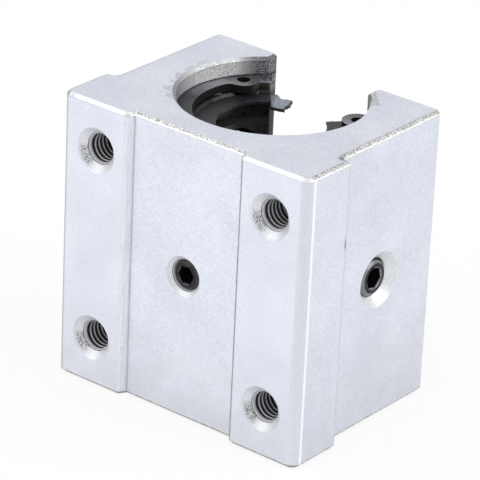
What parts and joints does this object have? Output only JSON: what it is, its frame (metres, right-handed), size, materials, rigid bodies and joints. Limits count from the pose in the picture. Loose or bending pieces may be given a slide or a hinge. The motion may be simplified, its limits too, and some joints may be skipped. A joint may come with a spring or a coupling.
{
  "type": "linear bearing block",
  "caption": "Open linear ball bearing block for a supported round shaft: aluminium housing with tapped mounting face, retained open ball bushing and side adjusting screw.",
  "frame": {"origin": "on the shaft axis, at the middle of the block's length", "axes": "+Z along the shaft axis, -Y out of the mounting face, +Y out of the rail opening, +X out of the side with the adjusting screw"},
  "size_m": [0.045, 0.033, 0.045],
  "materials": {
    "anodised_aluminium": "fine bead-blasted, clear anodised, pale blue-grey silver",
    "bearing_steel": "hardened and ground, greased",
    "spring_steel": "phosphated spring steel, dark grey satin",
    "ball_steel": "polished bearing balls, greased",
    "retainer_resin": "dark moulded resin",
    "seal_rubber": "black rubber with grease on it",
    "black_oxide_steel": "black oxide"
  },
  "bodies": {
    "block": {"housing": "anodised_aluminium", "bearing_sleeve": "bearing_steel", "ball_retainer": "retainer_resin", "upper_side_ring": "bearing_steel", "lower_side_ring": "bearing_steel", "upper_end_seal": "seal_rubber", "lower_end_seal": "seal_rubber", "upper_retaining_ring": "spring_steel", "lower_retaining_ring": "spring_steel", "locating_set_screw": "black_oxide_steel"},
    "adjusting_screw": {"adjusting_set_screw": "black_oxide_steel"},
    "circuit_one_loaded_balls": {"circuit_one_loaded_balls": "ball_steel"},
    "circuit_one_return_balls": {"circuit_one_return_balls": "ball_steel"},
    "circuit_one_upper_turn_balls": {"circuit_one_upper_turn_balls": "ball_steel"},
    "circuit_one_lower_turn_balls": {"circuit_one_lower_turn_balls": "ball_steel"},
    "circuit_two_loaded_balls": {"circuit_two_loaded_balls": "ball_steel"},
    "circuit_two_return_balls": {"circuit_two_return_balls": "ball_steel"},
    "circuit_two_upper_turn_balls": {"circuit_two_upper_turn_balls": "ball_steel"},
    "circuit_two_lower_turn_balls": {"circuit_two_lower_turn_balls": "ball_steel"},
    "circuit_three_loaded_balls": {"circuit_three_loaded_balls": "ball_steel"},
    "circuit_three_return_balls": {"circuit_three_return_balls": "ball_steel"},
    "circuit_three_upper_turn_balls": {"circuit_three_upper_turn_balls": "ball_steel"},
    "circuit_three_lower_turn_balls": {"circuit_three_lower_turn_balls": "ball_steel"},
    "circuit_four_loaded_balls": {"circuit_four_loaded_balls": "ball_steel"},
    "circuit_four_return_balls": {"circuit_four_return_balls": "ball_steel"},
    "circuit_four_upper_turn_balls": {"circuit_four_upper_turn_balls": "ball_steel"},
    "circuit_four_lower_turn_balls": {"circuit_four_lower_turn_balls": "ball_steel"}
  },
  "joints": [
    {"name": "adjusting_screw_turn", "type": "hinge", "parent": "block", "child": "adjusting_screw", "pos_m": [0.0155, 0, 0], "axis": [1, 0, 0], "range_deg": [-90, 90]},
    {"name": "circuit_one_loaded_run", "type": "slide", "parent": "block", "child": "circuit_one_loaded_balls", "axis": [0, 0, 1], "range_m": [-0.00128, 0.00128]},
    {"name": "circuit_one_return_run", "type": "slide", "parent": "block", "child": "circuit_one_return_balls", "axis": [0, 0, 1], "range_m": [-0.00128, 0.00128]},
    {"name": "circuit_one_upper_turn", "type": "hinge", "parent": "block", "child": "circuit_one_upper_turn_balls", "pos_m": [-0.00906, 0.00296, 0.01026], "axis": [0.8387, -0.5446, 0], "range_deg": [-30, 30]},
    {"name": "circuit_one_lower_turn", "type": "hinge", "parent": "block", "child": "circuit_one_lower_turn_balls", "pos_m": [-0.00906, 0.00296, -0.01026], "axis": [0.8387, -0.5446, 0], "range_deg": [-30, 30]},
    {"name": "circuit_two_loaded_run", "type": "slide", "parent": "block", "child": "circuit_two_loaded_balls", "axis": [0, 0, 1], "range_m": [-0.00128, 0.00128]},
    {"name": "circuit_two_return_run", "type": "slide", "parent": "block", "child": "circuit_two_return_balls", "axis": [0, 0, 1], "range_m": [-0.00128, 0.00128]},
    {"name": "circuit_two_upper_turn", "type": "hinge", "parent": "block", "child": "circuit_two_upper_turn_balls", "pos_m": [-0.00562, -0.0077, 0.01026], "axis": [0.7771, 0.6293, 0], "range_deg": [-30, 30]},
    {"name": "circuit_two_lower_turn", "type": "hinge", "parent": "block", "child": "circuit_two_lower_turn_balls", "pos_m": [-0.00562, -0.0077, -0.01026], "axis": [0.7771, 0.6293, 0], "range_deg": [-30, 30]},
    {"name": "circuit_three_loaded_run", "type": "slide", "parent": "block", "child": "circuit_three_loaded_balls", "axis": [0, 0, 1], "range_m": [-0.00128, 0.00128]},
    {"name": "circuit_three_return_run", "type": "slide", "parent": "block", "child": "circuit_three_return_balls", "axis": [0, 0, 1], "range_m": [-0.00128, 0.00128]},
    {"name": "circuit_three_upper_turn", "type": "hinge", "parent": "block", "child": "circuit_three_upper_turn_balls", "pos_m": [0.00562, -0.0077, 0.01026], "axis": [0.7771, -0.6293, 0], "range_deg": [-30, 30]},
    {"name": "circuit_three_lower_turn", "type": "hinge", "parent": "block", "child": "circuit_three_lower_turn_balls", "pos_m": [0.00562, -0.0077, -0.01026], "axis": [0.7771, -0.6293, 0], "range_deg": [-30, 30]},
    {"name": "circuit_four_loaded_run", "type": "slide", "parent": "block", "child": "circuit_four_loaded_balls", "axis": [0, 0, 1], "range_m": [-0.00128, 0.00128]},
    {"name": "circuit_four_return_run", "type": "slide", "parent": "block", "child": "circuit_four_return_balls", "axis": [0, 0, 1], "range_m": [-0.00128, 0.00128]},
    {"name": "circuit_four_upper_turn", "type": "hinge", "parent": "block", "child": "circuit_four_upper_turn_balls", "pos_m": [0.00906, 0.00296, 0.01026], "axis": [0.8387, 0.5446, 0], "range_deg": [-30, 30]},
    {"name": "circuit_four_lower_turn", "type": "hinge", "parent": "block", "child": "circuit_four_lower_turn_balls", "pos_m": [0.00906, 0.00296, -0.01026], "axis": [0.8387, 0.5446, 0], "range_deg": [-30, 30]}
  ],
  "couplings": [
    {"joint": "circuit_one_return_run", "follows": "circuit_one_loaded_run", "ratio": -1},
    {"joint": "circuit_one_upper_turn", "follows": "circuit_one_loaded_run", "rad_per_m": 408.16},
    {"joint": "circuit_one_lower_turn", "follows": "circuit_one_loaded_run", "rad_per_m": 408.16},
    {"joint": "circuit_two_return_run", "follows": "circuit_two_loaded_run", "ratio": -1},
    {"joint": "circuit_two_upper_turn", "follows": "circuit_two_loaded_run", "rad_per_m": 408.16},
    {"joint": "circuit_two_lower_turn", "follows": "circuit_two_loaded_run", "rad_per_m": 408.16},
    {"joint": "circuit_three_return_run", "follows": "circuit_three_loaded_run", "ratio": -1},
    {"joint": "circuit_three_upper_turn", "follows": "circuit_three_loaded_run", "rad_per_m": 408.16},
    {"joint": "circuit_three_lower_turn", "follows": "circuit_three_loaded_run", "rad_per_m": 408.16},
    {"joint": "circuit_four_return_run", "follows": "circuit_four_loaded_run", "ratio": -1},
    {"joint": "circuit_four_upper_turn", "follows": "circuit_four_loaded_run", "rad_per_m": 408.16},
    {"joint": "circuit_four_lower_turn", "follows": "circuit_four_loaded_run", "rad_per_m": 408.16}
  ]
}
